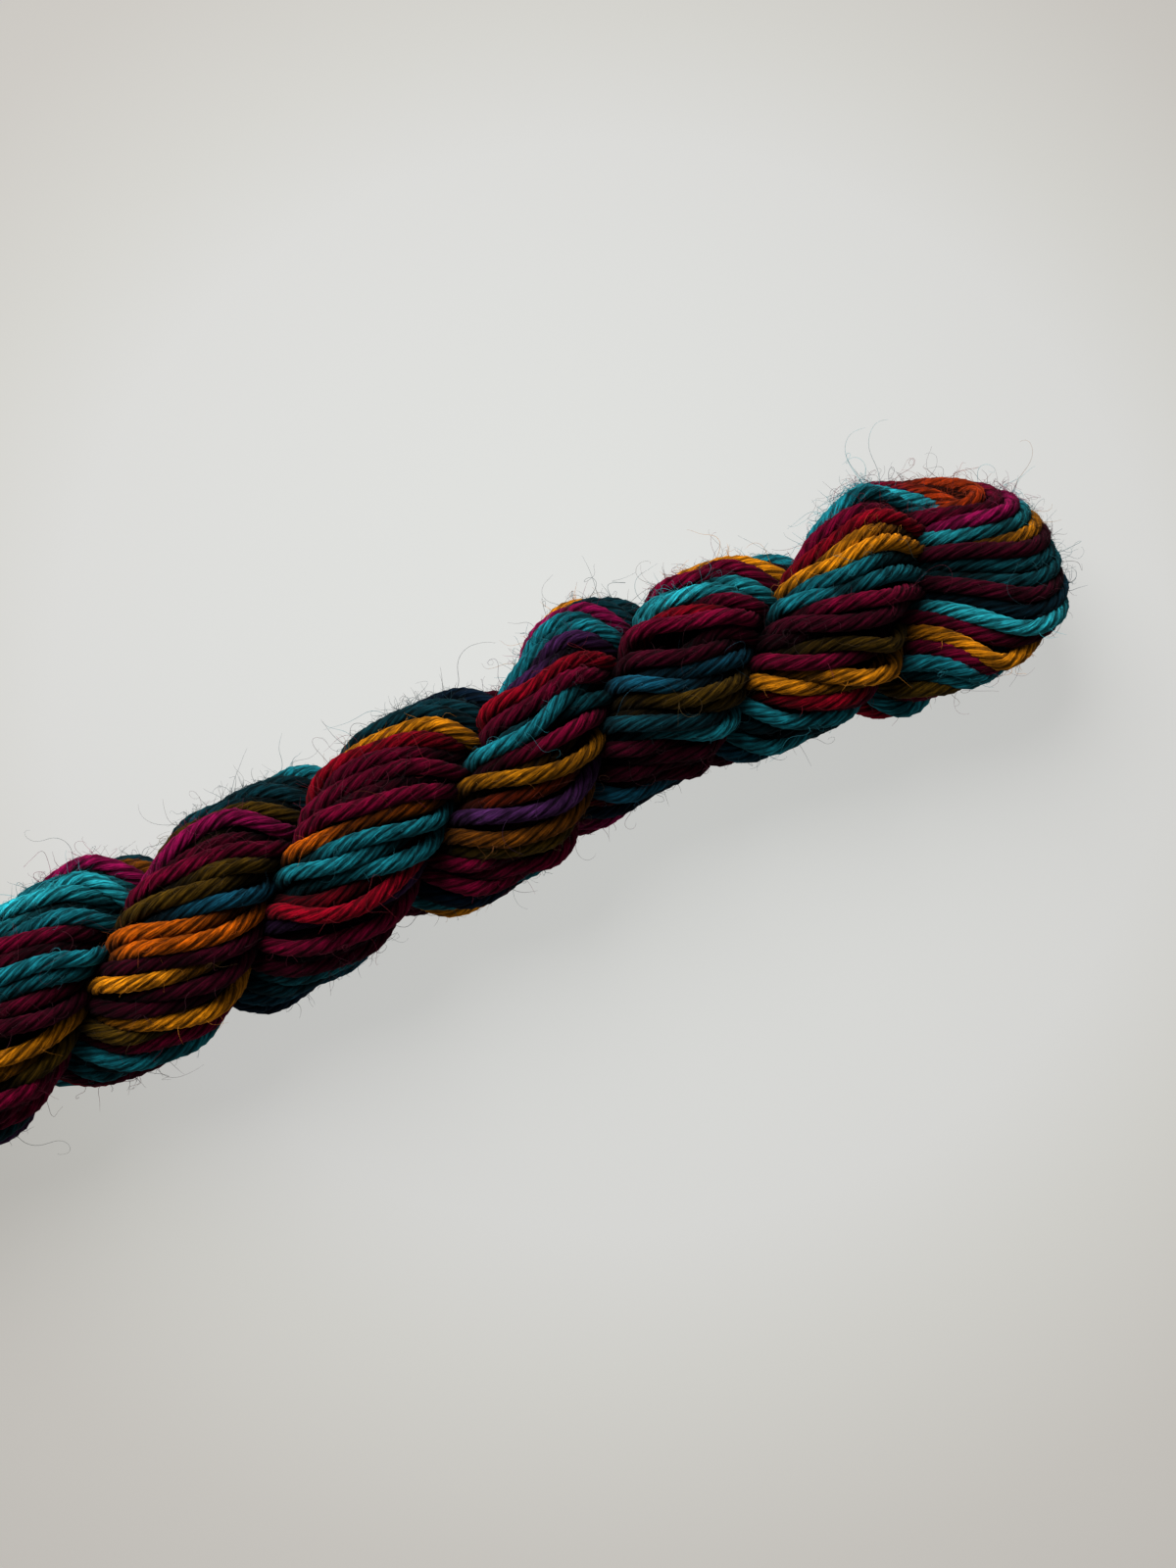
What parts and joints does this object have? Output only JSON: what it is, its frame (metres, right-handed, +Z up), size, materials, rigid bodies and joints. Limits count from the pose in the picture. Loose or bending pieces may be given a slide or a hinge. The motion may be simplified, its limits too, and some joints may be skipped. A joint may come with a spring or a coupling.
{
  "type": "skein of wool thread",
  "caption": "Small skein of hand-dyed wool thread: one hank, twisted and folded so that its halves form a left-handed rope with a spread fold at the end.",
  "frame": {"origin": "under the middle of the hank's box, on the surface it rests on", "axes": "+X along the rope towards the spread fold, +Y across it, +Z up from the surface"},
  "size_m": [0.1599, 0.0256, 0.0205],
  "materials": {
    "wool": "matt wool, hand-dyed in bands of teal, wine, crimson, gold and olive"
  },
  "bodies": {
    "root": {"hank": "wool"}
  },
  "joints": []
}
